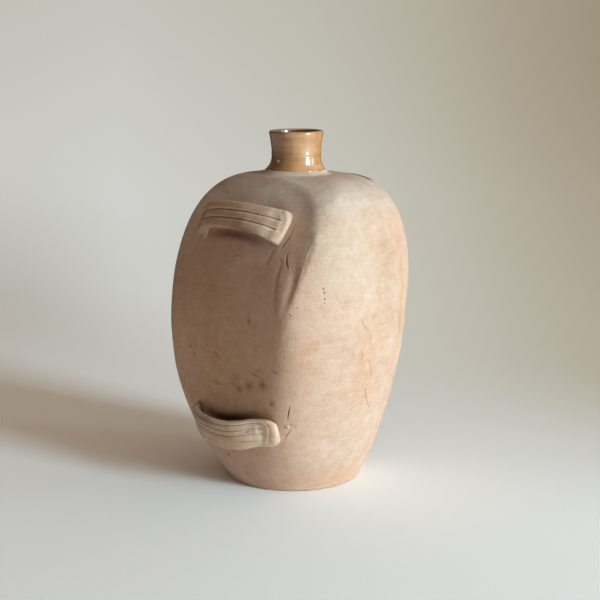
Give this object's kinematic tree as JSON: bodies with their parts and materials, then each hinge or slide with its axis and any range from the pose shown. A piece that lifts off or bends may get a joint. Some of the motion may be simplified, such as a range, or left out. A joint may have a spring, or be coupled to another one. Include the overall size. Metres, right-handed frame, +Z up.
{
  "type": "terracotta jug",
  "caption": "Hand-thrown terracotta flask with flattened sides, ribbed strap loops for a cord high and low on each, and a short waisted neck with a flared lip in honey glaze.",
  "frame": {"origin": "middle of the round foot, on the surface that the flask stands on", "axes": "+Z up towards the mouth; the two flattened sides with the loops face -X (left) and +X (right)"},
  "size_m": [0.1647, 0.179, 0.2623],
  "materials": {
    "bisque_clay": "matt unglazed pale clay, brushed with slip, with pits, fire marks and fine cracks",
    "handled_clay": "the same clay, worn a little smoother and darker by hands and cord",
    "honey_glaze": "glossy transparent honey-brown glaze, dark where it is thick"
  },
  "bodies": {
    "root": {"body": "bisque_clay", "neck": "bisque_clay", "neck_glaze": "honey_glaze", "lining_glaze": "honey_glaze", "upper_handle_left": "handled_clay", "upper_handle_right": "handled_clay", "lower_handle_left": "handled_clay", "lower_handle_right": "handled_clay"}
  },
  "joints": []
}
